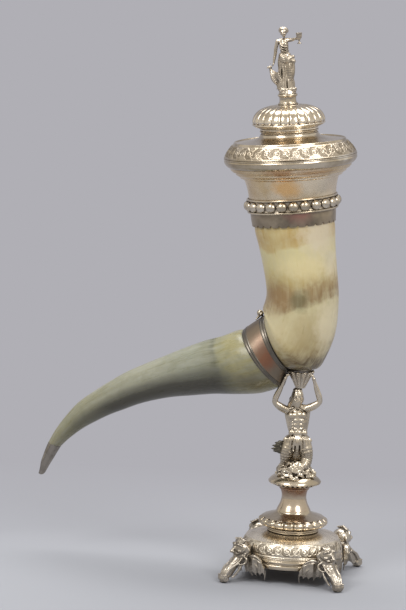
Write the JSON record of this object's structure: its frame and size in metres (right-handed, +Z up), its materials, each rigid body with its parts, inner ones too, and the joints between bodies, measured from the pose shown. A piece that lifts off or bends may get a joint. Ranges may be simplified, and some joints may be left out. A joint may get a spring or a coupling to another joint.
{
  "type": "covered drinking horn",
  "caption": "Covered drinking horn in silver mounts, standing on a figure stem with scroll feet, the lid with its finial figure lifts off.",
  "frame": {"origin": "on the table under the axis of the stem", "axes": "+Z up, +X to the right of the picture, +Y into it, the horn's tip points to -X and +Y"},
  "size_m": [0.3322, 0.1434, 0.5539],
  "materials": {
    "silver": "polished silver with light tarnish",
    "warm_silver": "polished silver with coppery tarnish",
    "cast_silver": "cast and chased silver, dark in its recesses",
    "dark_silver": "blackened silver",
    "pale_horn": "polished pale horn",
    "dark_horn": "polished grey-olive horn",
    "brass": "turned"
  },
  "bodies": {
    "cup": {"rim_mount": "warm_silver", "bead_wire_upper": "silver", "bead_ring": "silver", "bead_wire_lower": "silver", "mount_skirt": "silver", "upper_horn": "pale_horn", "horn_band": "warm_silver", "band_edge_upper": "silver", "band_edge_lower": "silver", "band_ornament": "cast_silver", "lower_horn": "dark_horn", "horn_tip_cap": "dark_silver", "horn_saddle": "silver", "shell_capital": "cast_silver", "merman_body": "cast_silver", "merman_arms": "cast_silver", "tail_fin": "cast_silver", "rockwork": "cast_silver", "stem_disc": "silver", "stem_neck": "warm_silver", "stem_knop": "silver", "stem_collar": "silver", "base_dome": "silver", "base_rim": "silver", "foot_front_left": "cast_silver", "foot_front_right": "cast_silver", "foot_back_right": "cast_silver", "foot_back_left": "cast_silver", "tie_rod": "brass", "tie_washer": "brass", "tie_nut": "brass"},
    "lid": {"lid_cover": "silver", "lid_bezel": "silver", "lid_dome": "silver", "finial_pedestal": "silver", "finial_woman": "cast_silver", "finial_goblet": "cast_silver", "finial_bird": "cast_silver", "finial_stud": "brass", "finial_washer": "brass", "finial_nut": "brass"}
  },
  "joints": [
    {"name": "lid_lift", "type": "slide", "parent": "cup", "child": "lid", "axis": [-0.0808, 0.0217, 0.9965], "range_m": [0, 0.08]}
  ]
}
